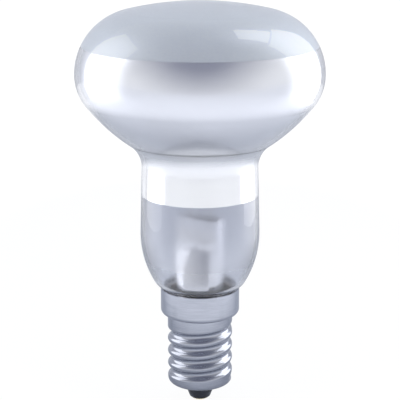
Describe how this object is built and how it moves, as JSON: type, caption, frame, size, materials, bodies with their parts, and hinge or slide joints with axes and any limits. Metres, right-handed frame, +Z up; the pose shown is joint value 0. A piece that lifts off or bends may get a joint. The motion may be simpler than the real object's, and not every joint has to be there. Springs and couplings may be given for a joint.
{
  "type": "reflector bulb",
  "caption": "Mirrored reflector lamp with a satin domed face, a conical mirrored body, a clear neck and a small screw cap with a rolled knuckle thread.",
  "frame": {"origin": "middle of the contact tip's lower face, on the lamp's axis", "axes": "+Z up the lamp's axis from the contact to the crown of the face; +X and +Y across it, +X through the uppermost root of the thread"},
  "size_m": [0.051, 0.051, 0.0855],
  "materials": {
    "bulb_glass": "clear at the neck, satin etched on the face",
    "mirror_film": "mirror",
    "stem_glass": "clear, fire-polished",
    "nickel_wire": "drawn",
    "copper_clad_wire": "oxidised copper in glass",
    "copper_wire": "drawn",
    "tungsten": "coiled, dull",
    "molybdenum_wire": "drawn",
    "cap_aluminium": "drawn and rolled, satin",
    "basing_cement": "baked, matt",
    "solder": "satin",
    "black_glass": "glossy, opaque",
    "contact_brass": "satin"
  },
  "bodies": {
    "root": {"bulb_glass": "bulb_glass", "mirror_coating": "mirror_film", "stem_glass": "stem_glass", "exhaust_tube": "stem_glass", "support_cane": "stem_glass", "inner_lead_left": "nickel_wire", "inner_lead_right": "nickel_wire", "seal_wire_left": "copper_clad_wire", "seal_wire_right": "copper_clad_wire", "side_lead": "copper_wire", "centre_lead": "copper_wire", "filament": "tungsten", "support_wire_1": "molybdenum_wire", "support_wire_2": "molybdenum_wire", "support_wire_3": "molybdenum_wire", "cap_shell": "cap_aluminium", "cement_ring": "basing_cement", "side_solder": "solder", "insulator": "black_glass", "contact_plate": "contact_brass", "contact_solder": "solder"}
  },
  "joints": []
}
